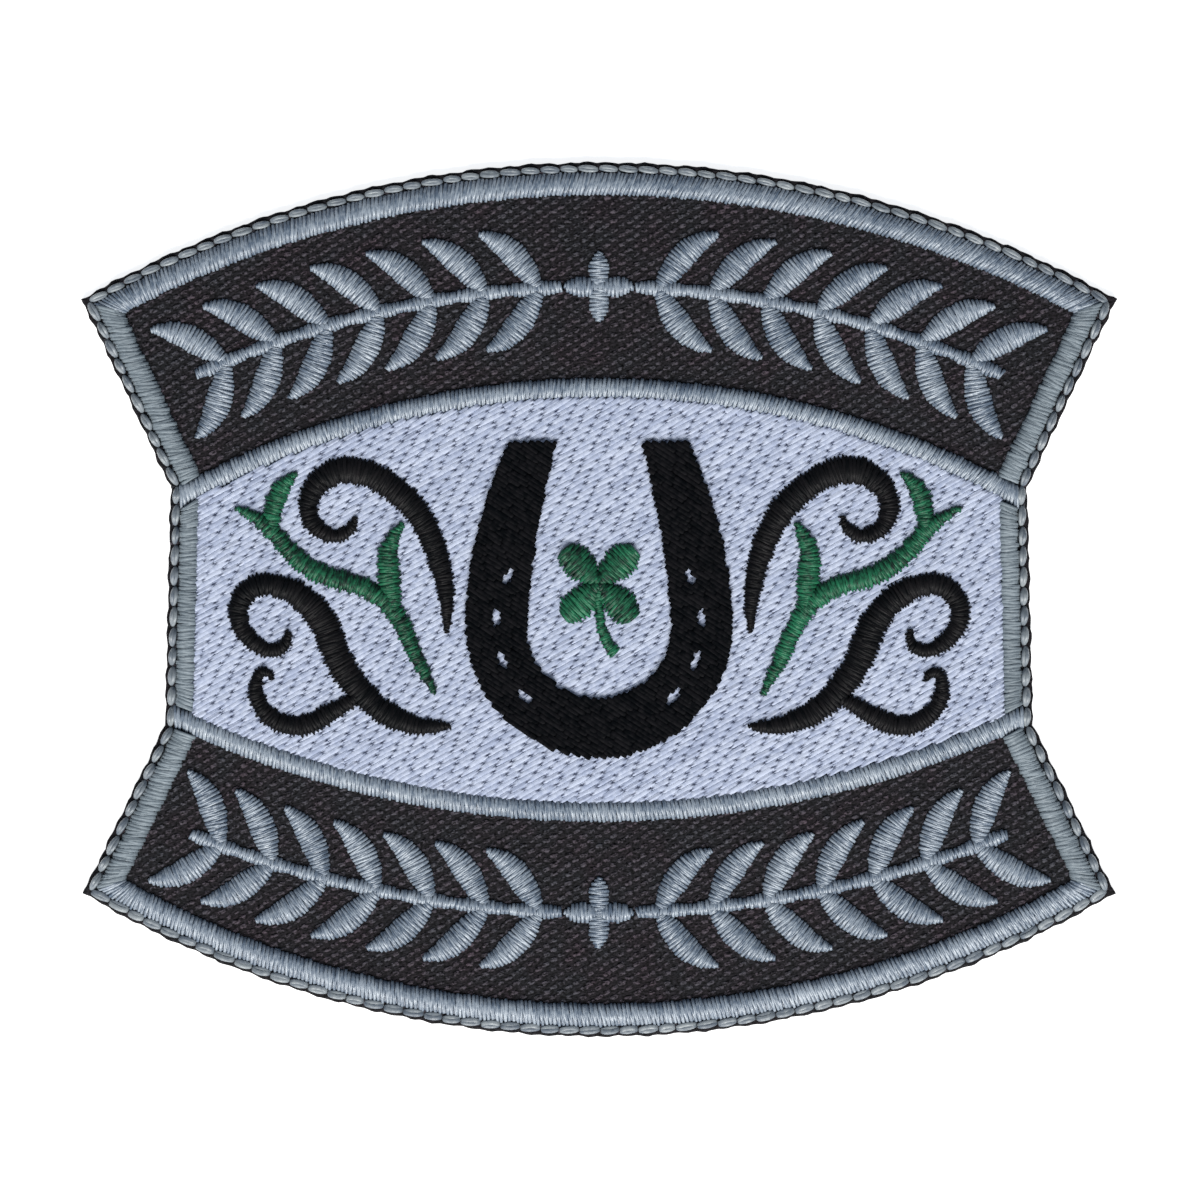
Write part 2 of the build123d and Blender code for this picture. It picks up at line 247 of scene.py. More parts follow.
def line_meets_arc(line, arc):
    """Crossing point of a side line and a bowed arc, on the arc's own side of its centre."""
    a, b = line
    step = (b - a) / abs(b - a)
    along = ((arc.centre - a) * step.conjugate()).real
    foot = a + along * step
    reach = (arc.radius**2 - abs(foot - arc.centre) ** 2) ** 0.5
    towards = arc.side if step.imag > 0 else -arc.side
    return foot + towards * reach * step


def arc_angle(arc, point):
    """Angle of a point about a bowed arc's centre, zero above or below it, growing to the left above."""
    return phase((point - arc.centre) / (1j * arc.side))


def arc_points(arc, angles):
    """Points of a bowed arc at angles from its apex."""
    return arc.centre + 1j * arc.side * arc.radius * np.exp(1j * np.asarray(angles))


def between_arcs(outer, inner, line, samples):
    """Closed outline between two bowed arcs and a side line, leftwards along the outer arc."""
    outer_turn = arc_angle(outer, line_meets_arc(line, outer))
    inner_turn = arc_angle(inner, line_meets_arc(line, inner))
    outer_points = arc_points(outer, np.linspace(outer_turn, -outer_turn, samples))
    return np.concatenate([outer_points, arc_points(inner, np.linspace(-inner_turn, inner_turn, samples))])


def mirrored_point(point):
    """The same point on the other half of the patch."""
    return -np.conjugate(point)


def arc_through(start, middle, end, shares):
    """Points at shares of the way along the arc through three points."""
    ratio = (end - start) / (middle - start)
    if abs(ratio.imag) < 1e-6:
        return start + (end - start) * shares
    centre = start + (middle - start) * (ratio - abs(ratio) ** 2) / (2j * ratio.imag)
    turn = phase((middle - centre) / (start - centre)) + phase((end - centre) / (middle - centre))
    return centre + (start - centre) * np.exp(1j * turn * shares)


def inside(points, polygon):
    """Which points lie in a closed polygon."""
    found = np.zeros(points.shape, bool)
    for a, b in zip(polygon, np.roll(polygon, -1)):
        spans = (a.imag > points.imag) != (b.imag > points.imag)
        if a.imag != b.imag:
            crossing = a.real + (points.imag - a.imag) * (b.real - a.real) / (b.imag - a.imag)
            found ^= spans & (points.real < crossing)
    return found


# Named points and lines of the right-hand side
top_corner = complex(top_width / 2, top_corner_height)
upper_notch = complex(upper_notch_width / 2, upper_notch_height)
lower_notch = complex(lower_notch_width / 2, -lower_notch_depth)
bottom_corner = complex(bottom_width / 2, -bottom_corner_depth)
upper_side = (top_corner, upper_notch)
middle_side = (upper_notch, lower_notch)
lower_side = (lower_notch, bottom_corner)
half_height = patch_height / 2
slant_inner_inset = edge_lane + slant_border_width
middle_inner_inset = edge_lane + middle_border_width
bowed_inner_inset = edge_lane + bowed_border_width
top_arc = bowed_arc(top_corner, half_height)
bottom_arc = bowed_arc(bottom_corner, -half_height)
upper_spring = line_meets_line(inset_line(upper_side, edge_lane), inset_line(middle_side, edge_lane))
lower_spring = line_meets_line(inset_line(middle_side, edge_lane), inset_line(lower_side, edge_lane))
upper_divider_arc = bowed_arc(upper_spring, upper_divider_height)
lower_divider_arc = bowed_arc(lower_spring, -lower_divider_depth)


def outline_stretches(inset, step):
    """The eight stretches of the cut outline moved inwards, leftwards round from the top right corner."""
    corners = [
        line_meets_arc(inset_line(upper_side, inset), inset_arc(top_arc, inset)),
        line_meets_line(inset_line(upper_side, inset), inset_line(middle_side, inset)),
        line_meets_line(inset_line(middle_side, inset), inset_line(lower_side, inset)),
        line_meets_arc(inset_line(lower_side, inset), inset_arc(bottom_arc, inset)),
    ]

    def bowed(arc, corner):
        turn = arc_angle(arc, corner)
        return arc_points(inset_arc(arc, inset), np.linspace(turn, -turn, ceil(top_width / step)))

    def straight(start, end):
        return np.linspace(start, end, ceil(abs(end - start) / step))

    falls = [straight(a, b) for a, b in zip(corners, corners[1:])]
    climbs = [fall[::-1] for fall in reversed(falls)]
    bottom = bowed(bottom_arc, mirrored_point(corners[3]))
    return [bowed(top_arc, corners[0]), *map(mirrored_point, falls), bottom, *climbs]


def outline(inset, step=0.5):
    """The cut outline moved inwards, as closed points going round to the left from the top right corner."""
    return np.concatenate([stretch[:-1] for stretch in outline_stretches(inset, step)])


# Meshes
def lifted(flat, heights):
    """Points in space over points of the face."""
    points = np.empty(flat.shape + (3,))
    points[..., 0] = flat.real
    points[..., 1] = flat.imag
    points[..., 2] = heights
    return points


def tube_faces(index):
    """Faces of closed tubes, from their points' numbers by tube, section and place round the section."""
    turned = np.roll(index, -1, axis=2)
    walls = np.stack([index[:, :-1], turned[:, :-1], turned[:, 1:], index[:, 1:]], axis=-1)
    return walls.reshape(-1, 4).tolist() + index[:, 0, ::-1].tolist() + index[:, -1].tolist()


class Stitching:
    """The threads of one piece, gathered in blocks and joined into one mesh."""

    def __init__(self, name):
        self.name = name
        self.points = []
        self.faces = []
        self.coordinates = []
        self.tones = []
        self.unshaded_shares = []
        self.total = 0

    def add(self, points, across, along, tones, unshaded_share):
        """Closed tubes, their points by tube, section, place round the section, and x, y and z."""
        tubes, sections, sides, _ = points.shape
        index = self.total + np.arange(tubes * sections * sides).reshape(tubes, sections, sides)
        self.faces += tube_faces(index)
        self.points.append(points.reshape(-1, 3))
        grid = np.zeros(points.shape[:3] + (2,))
        grid[..., 0] = across
        grid[..., 1] = along[:, :, None]
        self.coordinates.append(grid.reshape(-1, 2))
        spread = np.ones((tubes, sections, sides))
        self.tones.append((spread * np.asarray(tones).reshape(-1, 1, 1)).ravel())
        self.unshaded_shares.append((spread * unshaded_share).ravel())
        self.total += tubes * sections * sides

    def finish(self, material, slot, *nodes):
        """One object that stands for its nodes."""
        mesh = bpy.data.meshes.new(self.name)
        mesh.from_pydata((np.concatenate(self.points) * MM).tolist(), [], self.faces)
        corners = np.zeros(len(mesh.loops), np.int32)
        mesh.loops.foreach_get("vertex_index", corners)
        layer = mesh.uv_layers.new(name="thread")
        layer.data.foreach_set("uv", np.concatenate(self.coordinates)[corners].astype(np.float32).ravel())
        # Each point's tone, and its unshaded share: where this is below one, the finish paints shade
        for name, values in (("tone", self.tones), ("unshaded_share", self.unshaded_shares)):
            attribute = mesh.attributes.new(name, "FLOAT", "POINT")
            attribute.data.foreach_set("value", np.concatenate(values).astype(np.float32))
        mesh.polygons.foreach_set("use_smooth", [True] * len(mesh.polygons))
        mesh.materials.append(material)
        mesh.update()
        piece = bpy.data.objects.new(self.name, mesh)
        scene.collection.objects.link(piece)
        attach(piece, "root")
        if nodes:
            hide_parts(*nodes)
        return piece


# Shape of a thread: the stops along it where its sections stand, and a section's points from its left edge
# over its top to its right edge, as shares across and up
four_sided = np.array([1, 0.55, -0.55, -1]), np.array([0.1, 0.95, 0.95, 0.1])
five_sided = np.array([1, 0.72, 0, -0.72, -1]), np.array([0.1, 0.87, 1, 0.87, 0.1])
satin_shape = Shape(np.array([-1, -0.9, -0.68, -0.3, 0.3, 0.68, 0.9, 1]), *four_sided)
float_shape = Shape(np.array([-1, -0.5, 0.5, 1]), *four_sided)
fill_shape = Shape(np.array([-1, -0.83, -0.6, 0.6, 0.83, 1]), *five_sided)
run_shape = Shape(np.array([-1, -0.88, -0.6, -0.2, 0.2, 0.6, 0.88, 1]), *five_sided)
padding_places = np.array([-1, -0.86, -0.43, 0.43, 0.86, 1])


def arch(places, dome):
    """Height share of a thread or column at places from its start (-1) to its end (1)."""
    return 1 - (1 - dome.foot) * np.abs(places - dome.crest * (1 - places**2)) ** dome.roundness


def spaced(starts, ends, stops):
    """Points at stops from each start (-1) to its end (1), the way to their left side, and the lengths."""
    spans = ends - starts
    lengths = np.abs(spans)
    points = ((starts + ends) / 2)[:, None] + spans[:, None] / 2 * stops
    return points, (1j * spans / lengths)[:, None, None], lengths


def lay(stitching, starts, ends, seat, crown, thread, shape, dome, tones, dip=0.05, bow=0.0, unshaded_share=1.0):
    """Threads from starts to ends, each dipping into the cloth at both ends and arched between."""
    centres, sides, lengths = spaced(starts, ends, shape.stops)
    centres = centres + sides[:, :, 0] * bow * (1 - shape.stops**2)
    room = (1 - np.abs(shape.stops)) * (lengths / 2)[:, None]
    taper = np.clip(thread.tip + room / (thread.point * thread.width), 0, 1)
    widths = thread.width * chance.uniform(*thread_widths, len(starts))[:, None] * taper
    flat = centres[:, :, None] + sides * widths[:, :, None] / 2 * shape.across
    base = seat - dip + (np.asarray(crown).reshape(-1, 1) + dip - thread.height) * arch(shape.stops, dome)
    heights = base[:, :, None] + thread.height * shape.rise * (0.5 + 0.5 * taper[:, :, None])
    along = lengths[:, None] / 2 * (shape.stops + 1)
    stitching.add(lifted(flat, heights), shape.across * thread.width / 2, along, tones, unshaded_share)


def thread_tones(count):
    """How light each thread is beside its neighbours, with slow drifts over many stitches."""
    knots = np.arange(0, count + drift_stitches, drift_stitches)
    drift = np.interp(np.arange(count), knots, chance.normal(0, drift_scatter, len(knots)))
    return chance.normal(0, tone_scatter, count) + drift


def points_at(distances, run, path):
    """Points of a path at distances along it, the run being the distance to each of its own points."""
    return np.interp(distances, run, path.real) + 1j * np.interp(distances, run, path.imag)


def even(rails, shares):
    """Points of both rails at shares of the way along them, and the length of the way, the longer rail's."""
    left, right = rails
    steps = np.maximum(np.abs(np.diff(left)), np.abs(np.diff(right)))
    run = np.concatenate([[0], np.cumsum(steps)])
    return points_at(shares * run[-1], run, left), points_at(shares * run[-1], run, right), run[-1]


# Threads: width, height, share of the width at the tip, over how many widths it narrows to that, and how much
# of a satin stitch has padding under it
satin_thread = Thread(0.3, 0.16, 0.92)
level_thread = Thread(0.37, 0.095, 0.94)
stroke_thread = Thread(0.37, 0.14, 0.3, 1.4, 0.78)
dull_stroke_thread = Thread(0.38, 0.1, 0.25, 1.5, 0.78)
fill_thread = Thread(0.54, 0.075, 0.9)
dull_fill_thread = Thread(0.52, 0.07, 0.7)
float_thread = Thread(0.46, 0.06, 0.4)

# How threads arch from end to end: a high roundness is flat-topped, a crest below zero lies nearer the start
satin_dome = Dome(2.1, 0)
side_dome = Dome(4, 0)
stroke_dome = Dome(1.8, 0)
float_dome = Dome(3, 0)


def column_heights(widths, sewing):
    """How high a satin column stands where it has these widths: a narrow place stands lower."""
    return sewing.crown * np.clip(widths / sewing.full_width, least_width_share, 1) ** 0.5


def satin(stitching, rails, sewing):
    """A zigzag of threads between two rails, over padding of the same shape."""
    _, _, length = even(rails, np.array([0.0]))
    passes = max(4, round(2 * length / zigzag_pitch))
    number = np.arange(passes)
    left_tooth = (number + 1) // 2
    right_tooth = number // 2
    teeth = passes // 2 + 2
    left_shares = np.clip(2 * np.arange(teeth) / passes, 0, 1)
    right_shares = np.clip((2 * np.arange(teeth) + 1) / passes, 0, 1)
    left_points, across_left, _ = even(rails, left_shares)
    across_right, right_points, _ = even(rails, right_shares)
    out_left = (left_points - across_left) / np.maximum(np.abs(left_points - across_left), 1e-6)
    out_right = (right_points - across_right) / np.maximum(np.abs(right_points - across_right), 1e-6)
    slip = 1j * chance.normal(0, needle_slip, (2, teeth))
    ragged = sewing.ragged
    left_points = left_points + out_left * (chance.uniform(-ragged, ragged, teeth) + slip[0])
    right_points = right_points + out_right * (chance.uniform(-ragged, ragged, teeth) + slip[1])
    starts = left_points[left_tooth]
    ends = right_points[right_tooth]
    crowns = column_heights(np.abs(starts - ends), sewing) + chance.normal(0, crown_scatter, passes)
    tones = thread_tones(passes)
    lay(stitching, starts, ends, sewing.seat, crowns, sewing.thread, satin_shape, sewing.dome, tones)
    pad(stitching, rails, sewing)


def pad(stitching, rails, sewing):
    """The padding under a satin column, seen only between its threads and coloured all in painted shade."""
    _, _, length = even(rails, np.array([0.0]))
    rungs = np.linspace(0.01, 0.99, max(3, round(length / rung_spacing)))
    left, right, _ = even(rails, rungs)
    places = sewing.thread.padding * padding_places
    flat = ((left + right) / 2)[:, None] + ((right - left) / 2)[:, None] * places
    crowns = column_heights(np.abs(left - right), sewing) - padding_depth
    heights = sewing.seat - padding_sink + crowns[:, None] * arch(places, sewing.dome)
    stitching.add(lifted(flat[None], heights), places, rungs[None, :] * length, [0], 0)


# Columns
def fan(shares, first, last, middle, reach):
    """Half the lead of the outer rail over the inner one: a middle value that runs out to each end's own."""
    from_first = np.clip(1 - shares / reach, 0, 1) ** 2
    from_last = np.clip(1 - (1 - shares) / reach, 0, 1) ** 2
    return middle + (first - middle) * from_first + (last - middle) * from_last


def column_rails(outer_at, inner_at, outer_ends, inner_ends, length, leans, samples=160):
    """Matched points of two rails, given by how far along them each end lies and how its stitches lean."""
    shares = np.linspace(0, 1, samples)
    lean = np.linspace(*leans, samples)
    first = (outer_ends[0] - inner_ends[0]) / 2
    last = (outer_ends[1] - inner_ends[1]) / 2
    middle = (outer_ends[0] + inner_ends[0]) / 2 * (1 - shares) + (outer_ends[1] + inner_ends[1]) / 2 * shares
    lead = fan(shares, first, last, lean, fan_reach / length)
    return outer_at(middle + lead), inner_at(middle - lead)


def bowed_rails(arc, width, outer_end, inner_end, leans):
    """Rails of a column along an arc, from its left end to its right end, given its right-hand ends."""
    inner_arc = inset_arc(arc, width)
    outer_turn = arc_angle(arc, outer_end)
    inner_turn = arc_angle(inner_arc, inner_end)
    length = 2 * abs(inner_turn) * arc.radius
    outer, inner = column_rails(
        lambda a: arc_points(arc, a),
        lambda a: arc_points(inner_arc, a),
        (-outer_turn, outer_turn),
        (-inner_turn, inner_turn),
        length,
        [-arc.side * lean / arc.radius / 2 for lean in leans],
    )
    return (outer, inner) if arc.side > 0 else (inner, outer)


def side_rails(side, width, outer_ends, inner_ends, lean):
    """Rails of a straight right-hand column from its upper end to its lower end."""
    outer_line = inset_line(side, edge_lane)
    inner_line = inset_line(side, edge_lane + width)
    down = (outer_line[1] - outer_line[0]) / abs(outer_line[1] - outer_line[0])

    def along(line, point):
        return ((point - line[0]) * down.conjugate()).real

    length = abs(outer_ends[1] - outer_ends[0])
    outer, inner = column_rails(
        lambda a: outer_line[0] + a * down,
        lambda a: inner_line[0] + a * down,
        [along(outer_line, p) for p in outer_ends],
        [along(inner_line, p) for p in inner_ends],
        length,
        (lean / 2, lean / 2),
    )
    return outer, inner


def left_twin(rails):
    """The same column on the left half, its rails swapped so that the left rail stays on the left."""
    outer, inner = rails
    return mirrored_point(inner), mirrored_point(outer)


def mitre(arc, side):
    """Outer and inner corner where a bowed column and a slanted column meet."""
    outer = line_meets_arc(inset_line(side, edge_lane), inset_arc(arc, edge_lane))
    inner = line_meets_arc(inset_line(side, slant_inner_inset), inset_arc(arc, bowed_inner_inset))
    return outer, inner


def crossing(side, inner_inset, arc):
    """Outer and inner point where a side column meets an arc."""
    return [line_meets_arc(inset_line(side, inset), arc) for inset in (edge_lane, inner_inset)]


# Strokes
def stroke_rails(stroke, place, samples=16):
    """Left and right edge of a tapered stroke through its stations, set on the patch by place."""
    first = stroke.stations[0]
    heading = radians(stroke.heading)

    def edges(point, angle, width):
        reach = 1j * exp(1j * angle) * width / 2
        return point + reach, point - reach

    start = complex(first.x, first.y)
    at_start = edges(start, heading, first.width)
    start_width = first.width
    left, right = [], []
    shares = np.linspace(0, 1, samples, endpoint=False)
    for station in stroke.stations[1:]:
        end = complex(station.x, station.y)
        chord_angle = phase(end - start)
        half_turn = (chord_angle - heading + pi) % (2 * pi) - pi
        bow = abs(end - start) / 2 * sin(half_turn / 2) / np.cos(half_turn / 2)
        middle = (start + end) / 2 - 1j * exp(1j * chord_angle) * bow
        narrow, wide = sorted((start_width, station.width))
        at_middle = edges(middle, chord_angle, narrow + stretch_fullness * (wide - narrow))
        heading = chord_angle + half_turn
        at_end = edges(end, heading, station.width)
        left.append(arc_through(at_start[0], at_middle[0], at_end[0], shares))
        right.append(arc_through(at_start[1], at_middle[1], at_end[1], shares))
        start, start_width, at_start = end, station.width, at_end
    left.append(np.array([at_start[0]]))
    right.append(np.array([at_start[1]]))
    return place(np.concatenate(left)), place(np.concatenate(right))


def sized(strokes, reach_x, reach_y, width):
    """Strokes whose tables hold shares, brought to real sizes."""
    made = []
    for heading, stations in strokes:
        sized_stations = [Station(s.x * reach_x, s.y * reach_y, s.width * width) for s in stations]
        made.append(Stroke(heading, sized_stations))
    return made


def mirrored(strokes):
    """Strokes turned over about the upright middle line of their motif."""
    return [Stroke(180 - stroke.heading, [s._replace(x=-s.x) for s in stroke.stations]) for stroke in strokes]


def turned_over(strokes):
    """Strokes turned over about the level middle line of their motif."""
    return [Stroke(-stroke.heading, [s._replace(y=-s.y) for s in stroke.stations]) for stroke in strokes]


def rotated(strokes, angle):
    """Strokes turned about the middle of their motif."""
    turn = exp(1j * radians(angle))
    made = []
    for stroke in strokes:
        spots = [(complex(s.x, s.y) * turn, s.width) for s in stroke.stations]
        made.append(Stroke(stroke.heading + angle, [Station(p.real, p.imag, w) for p, w in spots]))
    return made


def flower(petal, first_angle):
    """Four equal petals about one middle."""
    angles = [first_angle + 90 * number for number in range(4)]
    return [stroke for angle in angles for stroke in rotated(petal, angle)]


laurel_leaf = Stroke(62, [Station(0, 0.02, 0.1), Station(0.17, 0.28, 0.225), Station(0.47, 0.5, 0.04)])
laurel_stem = Stroke(0, [Station(-0.204, 0, 0.09), Station(0.04, 0, 0.13), Station(0.264, 0, 0.085)])
sprig_shares = [laurel_leaf, *turned_over([laurel_leaf]), laurel_stem]
rosette_petal = [Stroke(0, [Station(0, 0, 0.2), Station(0.27, 0, 0.3), Station(0.5, 0, 0.06)])]
clover_petal = [Stroke(0, [Station(0.01, 0, 0.08), Station(0.32, 0, 0.36), Station(0.5, 0, 0.17)])]
clover_stem = [Stroke(-95, [Station(0, -0.02, 0.09), Station(0.02, -0.42, 0.1), Station(0.16, -0.72, 0.14)])]
upper_scroll = [
    Stroke(95, [
        Station(0.42, -0.21, 0.2),
        Station(0.48, 0.48, 0.92),
        Station(0.66, 0.82, 1),
        Station(0.8, 0.62, 0.72),
        Station(0.74, 0.41, 0.54),
        Station(0.67, 0.53, 0.22),
    ]),
]
lower_scroll = [
    Stroke(-10, [
        Station(0.41, -0.8, 0.22),
        Station(0.6, -0.7, 0.9),
        Station(0.74, -0.24, 1.04),
        Station(0.9, 0.1, 0.82),
        Station(0.99, -0.15, 0.68),
        Station(0.91, -0.32, 0.54),
        Station(0.86, -0.19, 0.22),
    ]),
    Stroke(-30, [
        Station(0.65, -0.6, 0.28),
        Station(0.78, -0.77, 0.78),
        Station(0.93, -0.68, 0.64),
        Station(0.94, -0.49, 0.44),
        Station(0.9, -0.51, 0.2),
    ]),
]
vine = [
    Stroke(62, [
        Station(0.45, -0.6, 0.24),
        Station(0.54, -0.17, 0.9),
        Station(0.7, 0.12, 1),
        Station(0.87, 0.36, 0.9),
        Station(1, 0.59, 0.2),
    ]),
    Stroke(80, [Station(0.56, -0.12, 0.42), Station(0.58, 0.19, 1.1), Station(0.54, 0.49, 0.2)]),
    Stroke(85, [Station(0.9, 0.4, 0.36), Station(0.89, 0.63, 1), Station(0.83, 0.81, 0.2)]),
]


# Fill stitching
def rows_inside(polygons, angle, pitch):
    """Stretches of slanted rows that lie inside closed outlines: row number, start and end along the row."""
    turn = exp(-1j * radians(angle))
    starts = np.concatenate(polygons) * turn
    ends = np.concatenate([np.roll(polygon, -1) for polygon in polygons]) * turn
    first = int(np.floor(starts.imag.min() / pitch))
    last = int(np.ceil(starts.imag.max() / pitch))
    found = []
    for row in range(first, last + 1):
        level = (row + row_offset) * pitch
        crossed = (starts.imag > level) != (ends.imag > level)
        a, b = starts[crossed], ends[crossed]
        hits = np.sort(a.real + (level - a.imag) * (b.real - a.real) / (b.imag - a.imag))
        found += [(row, level, left, right) for left, right in zip(hits[::2], hits[1::2])]
    return found


def fill(stitching, polygons, rows):
    """Rows of running threads side by side, their needle holes stepped from row to row, over flat bars."""
    turn = exp(1j * radians(rows.angle))
    starts, ends, bar_starts, bar_ends = [], [], [], []
    for row, level, left, right in rows_inside(polygons, rows.angle, rows.pitch):
        left -= rows.spare + chance.uniform(-rows.ragged, rows.ragged)
        right += rows.spare + chance.uniform(-rows.ragged, rows.ragged)
        if right - left < rows.pitch / 2:
            continue
        bar_starts.append(complex(left + bar_inset, level))
        bar_ends.append(complex(right - bar_inset, level))
        first_hole = (-row * fill_row_shift) % fill_stitch_length
        reach = (left - first_hole) / fill_stitch_length, (right - first_hole) / fill_stitch_length
        holes = first_hole + fill_stitch_length * np.arange(np.floor(reach[0]), reach[1] + 1)
        holes = holes + chance.normal(0, rows.scatter, len(holes))
        kept = (holes > left + shortest_stitch) & (holes < right - shortest_stitch)
        stops = np.concatenate([[left], holes[kept], [right]])
        for a, b in zip(stops, stops[1:]):
            starts.append(complex(a - stitch_lap, level + chance.normal(0, row_wander)))
            ends.append(complex(b + stitch_lap, level + chance.normal(0, row_wander)))
    starts = np.array(starts) * turn
    ends = np.array(ends) * turn
    tones = thread_tones(len(starts))
    crowns = rows.height + chance.normal(0, fill_scatter, len(starts))
    # Painted shade at the needle holes: near each end of a stitch a slit of shade is painted, of random
    # strength
    lengths = np.abs(ends - starts)[:, None]
    room = (1 - np.abs(fill_shape.stops)) * lengths / 2
    strength = chance.uniform(*rows.shade, (len(starts), 1)) * np.clip(lengths - shortest_painted_slit, 0, 1)
    painted_slit_shade = np.clip(painted_slit_fade - painted_slit_fade * room / painted_slit_reach, 0, 1) * strength
    lay(
        stitching,
        starts,
        ends,
        rows.seat,
        crowns,
        rows.thread,
        fill_shape,
        Dome(fill_roundness, 0, rows.foot),
        tones,
        dip=fill_dip,
        unshaded_share=1 - painted_slit_shade[:, :, None],
    )
    lay_bars(stitching, np.array(bar_starts) * turn, np.array(bar_ends) * turn, rows)


def lay_bars(stitching, starts, ends, rows):
    """Flat bars under rows of fill stitches, seen only between their threads and coloured all in painted
    shade.
    """
    stops = np.array([-1, 1])
    centres, sides, lengths = spaced(starts, ends, stops)
    flat = centres[:, :, None] + sides * rows.pitch * bar_half_width * np.array([1, 1, -1, -1])
    heights = rows.seat - bar_dip + np.array([0, 1, 1, 0]) * rows.height * bar_height
    along = lengths[:, None] / 2 * (stops + 1)
    stitching.add(lifted(flat, heights), np.zeros(4), along, np.zeros(len(lengths)), 0)


# Thread finish: how far its pattern moves from thread to thread, how fine its fibres and glints are across
# and along it, how much each part counts in its lightness and gloss (the glints are painted highlights), how
# sharp the painted slit of shade at a needle hole is, and how high a fibre stands in metres
thread_shift = (37, 11, 53)
fibre_stretch = (14, 1.0, 1)
glint_stretch = (1.5, 2.0, 1)
tone_weight = 0.32
fibre_weight = 1.2
gloss_weight = 0.5
painted_slit_sharpness = 15
fibre_height = 0.00004

# Twill finish: the size and height of its specks in metres, how many bits of fuzz and patches lie in a metre,
# how much each part counts in its lightness, and where and how sharply the warmer patches begin
speck_size = (0.00034, 0.00020, 0.001)
speck_height = 0.00008
fuzz_scale = 6000.0
patch_scale = 420.0
twill_lightness = 0.42
twill_tone_weight = 0.09
fuzz_weight = 0.9
patch_level = 0.35
patch_contrast = 2.5


# Shader maths written as expressions
class Signal:
    """One output inside a material; arithmetic on it adds the nodes."""

    def __init__(self, finish, socket):
        self.finish = finish
        self.socket = socket

    def __add__(self, other):
        return self.finish.maths("ADD", self, other)

    __radd__ = __add__

    def __sub__(self, other):
        return self.finish.maths("SUBTRACT", self, other)

    def __rsub__(self, other):
        return self.finish.maths("SUBTRACT", other, self)

    def __mul__(self, other):
        return self.finish.maths("MULTIPLY", self, other)

    __rmul__ = __mul__


class Finish:
    """A material being put together."""

    def __init__(self, name):
        self.material = bpy.data.materials.new(name)
        self.material.use_nodes = True
        self.tree = self.material.node_tree
        self.shader = self.tree.nodes["Principled BSDF"]

    def feed(self, socket, value):
        """Link a signal to a socket, or set its value."""
        if isinstance(value, Signal):
            self.tree.links.new(value.socket, socket)
        else:
            socket.default_value = value

    def node(self, kind, settings, inputs, output=0):
        """Any node: its settings, then the values or links of its sockets."""
        made = self.tree.nodes.new(kind)
        for name, value in settings.items():
            setattr(made, name, value)
        for name, value in inputs.items():
            self.feed(made.inputs[name], value)
        return Signal(self, made.outputs[output])

    def maths(self, operation, first, second):
        return self.node("ShaderNodeMath", {"operation": operation}, {0: first, 1: second})

    def clamped(self, value):
        return self.node("ShaderNodeClamp", {}, {"Value": value})

    def mix(self, factor, first, second):
        """Colour between two colours."""
        settings = {"data_type": "RGBA", "clamp_factor": True}
        return self.node("ShaderNodeMix", settings, {0: factor, 6: first, 7: second}, 2)

    def attribute(self, name):
        return self.node("ShaderNodeAttribute", {"attribute_name": name}, {}, 2)

    def thread_place(self, scale):
        """Place on a thread, across and along it, stretched by a scale and moved for each thread."""
        place = self.node("ShaderNodeUVMap", {"uv_map": "thread"}, {})
        stretched = self.node("ShaderNodeVectorMath", {"operation": "MULTIPLY"}, {0: place, 1: scale})
        tone = self.attribute("tone")
        shifts = {axis: tone * shift for axis, shift in enumerate(thread_shift)}
        moved = self.node("ShaderNodeCombineXYZ", {}, shifts)
        return self.node("ShaderNodeVectorMath", {"operation": "ADD"}, {0: stretched, 1: moved})

    def from_middle(self):
        """Distance from the middle line of a thread, in millimetres."""
        place = self.node("ShaderNodeUVMap", {"uv_map": "thread"}, {})
        return self.maths("ABSOLUTE", self.node("ShaderNodeSeparateXYZ", {}, {0: place}), 0)

    def noise(self, place, scale, detail=2.0):
        return self.node("ShaderNodeTexNoise", {}, {"Vector": place, "Scale": scale, "Detail": detail})

    def bump(self, height, strength, distance):
        inputs = {"Height": height, "Strength": strength, "Distance": distance}
        return self.node("ShaderNodeBump", {}, inputs)

    def finish(self, sockets):
        for name, value in sockets.items():
            self.feed(self.shader.inputs[name], value)
        return self.material


def thread_look(name, dark, light, shade, painted_glint_weight, roughness, specular, painted_slit=None):
    """Twisted filament thread: fine fibres along it, glints that come and go, each stitch a little different.

    The painted shade is a colour painted where a thread's unshaded share is low: on the padding and bars
    between threads and at the needle holes. A painted slit keeps it to the middle of a thread near its holes.
    """
    made = Finish(name)
    fibres = made.noise(made.thread_place(fibre_stretch), 1.0, 3.0)
    glints = made.noise(made.thread_place(glint_stretch), 1.0, 2.0)
    share = 0.5 + made.attribute("tone") * tone_weight + (fibres - 0.5) * fibre_weight
    share = share + (glints - 0.5) * painted_glint_weight
    lit = made.mix(made.clamped(share), (*dark, 1), (*light, 1))
    unshaded = made.attribute("unshaded_share")
    if painted_slit:
        unshaded = unshaded + (1 - unshaded) * made.clamped((made.from_middle() - painted_slit) * painted_slit_sharpness)
    return made.finish(
        {
            "Base Color": made.mix(unshaded, (*shade, 1), lit),
            "Roughness": made.clamped(roughness - (glints - 0.5) * gloss_weight),
            "Specular IOR Level": specular,
            "Normal": made.bump(fibres, 0.6, fibre_height),
        }
    )


